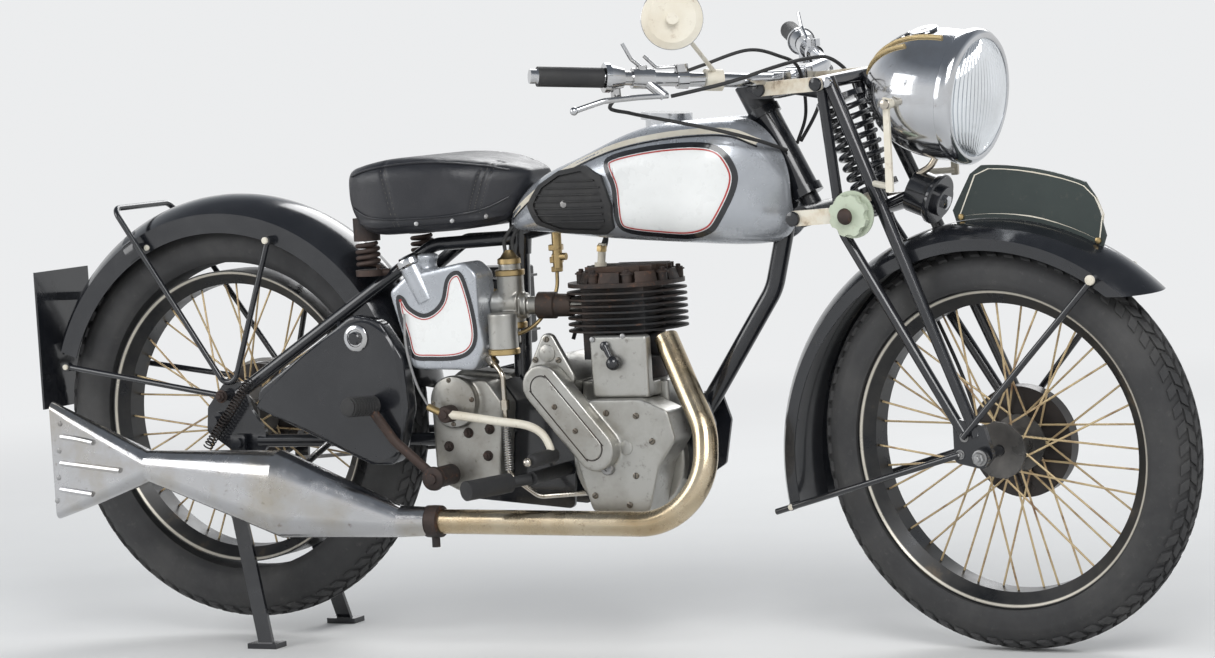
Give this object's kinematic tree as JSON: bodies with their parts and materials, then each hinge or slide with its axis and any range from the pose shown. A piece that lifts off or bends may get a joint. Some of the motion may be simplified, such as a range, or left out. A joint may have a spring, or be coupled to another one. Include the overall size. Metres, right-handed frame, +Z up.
{
  "type": "vintage girder-fork motorcycle",
  "caption": "Rigid-frame single-cylinder motorcycle with girder fork, saddle tank, sprung saddle, fishtail silencer and rear stand, standing on that stand.",
  "frame": {"origin": "on the ground, at the middle of the machine's bounding box", "axes": "+X forward, +Y to the machine's left, +Z up"},
  "size_m": [2.1233, 0.8028, 1.0547],
  "materials": {
    "alloy": "cast alloy, lightly polished",
    "black_enamel": "gloss black stove enamel",
    "black_plastic": "black moulded insulator",
    "brass": "brass",
    "chrome": "polished chrome",
    "cream_paint": "cream paint",
    "iron": "black iron, rusty in places",
    "lamp_glass": "fluted lamp glass",
    "leather": "black saddle leather",
    "nickel": "aged nickel plate with heat tint",
    "plate_green": "dull dark green-grey paint",
    "rubber": "black rubber",
    "rusty_iron": "rusty brown iron",
    "silver_paint": "silver paint, slightly worn",
    "steel": "bare steel",
    "tyre_rubber": "grey-black tyre rubber"
  },
  "bodies": {
    "chassis": {"barrel": "iron", "battery": "black_plastic", "brake_pedal": "black_enamel", "carburettor": "alloy", "chain_stays": "black_enamel", "crankcase": "alloy", "cylinder_head": "rusty_iron", "down_tube": "black_enamel", "drive_chain": "steel", "engine_plates": "black_enamel", "exhaust_pipe": "nickel", "footrests": "rubber", "fuel_tank": "silver_paint", "gear_lever": "alloy", "gearbox": "alloy", "guard_stays": "black_enamel", "kick_lever": "rusty_iron", "knee_pads": "rubber", "magneto": "alloy", "oil_pipes": "nickel", "oil_tank": "silver_paint", "petrol_tap": "brass", "primary_case": "black_enamel", "rear_guard": "black_enamel", "saddle": "leather", "saddle_springs": "chrome", "seat_stays": "black_enamel", "seat_tube": "black_enamel", "silencer": "nickel", "spark_plug": "cream_paint", "steering_head": "black_enamel", "tail_plate": "black_enamel", "tank_brackets": "black_enamel", "tank_cap": "chrome", "tappet_chest": "alloy", "timing_cover": "alloy", "toolbox": "black_enamel", "top_tube": "black_enamel"},
    "steering": {"girder_fork": "black_enamel", "fork_links": "cream_paint", "fork_spring": "black_enamel", "damper_knob": "cream_paint", "handlebar": "chrome", "grips": "rubber", "levers": "chrome", "mirror": "cream_paint", "headlamp_shell": "chrome", "headlamp_glass": "lamp_glass", "lamp_brackets": "cream_paint", "horn": "black_enamel", "front_guard": "black_enamel", "front_stays": "black_enamel", "front_plate": "plate_green", "brake_cable": "rubber"},
    "front_wheel": {"front_tyre": "tyre_rubber", "front_wheel_spokes": "black_enamel"},
    "rear_wheel": {"rear_tyre": "tyre_rubber", "rear_wheel_spokes": "black_enamel"},
    "rear_stand": {"rear_stand": "black_enamel"}
  },
  "joints": [
    {"name": "steering_turn", "type": "hinge", "parent": "chassis", "child": "steering", "pos_m": [0.435, 0, 0.694], "axis": [-0.454, 0, 0.891], "range_deg": [-24.7, 41.3]},
    {"name": "front_wheel_spin", "type": "hinge", "parent": "steering", "child": "front_wheel", "pos_m": [0.744, -0.01546, 0.32099], "axis": [0.1286, 0.9895, 0.0655], "continuous": true},
    {"name": "rear_wheel_spin", "type": "hinge", "parent": "chassis", "child": "rear_wheel", "pos_m": [-0.65, 0, 0.382], "axis": [0, 1, 0], "continuous": true},
    {"name": "rear_stand_fold", "type": "hinge", "parent": "chassis", "child": "rear_stand", "pos_m": [-0.606, 0, 0.344], "axis": [0, 1, 0], "range_deg": [0, 96]}
  ]
}
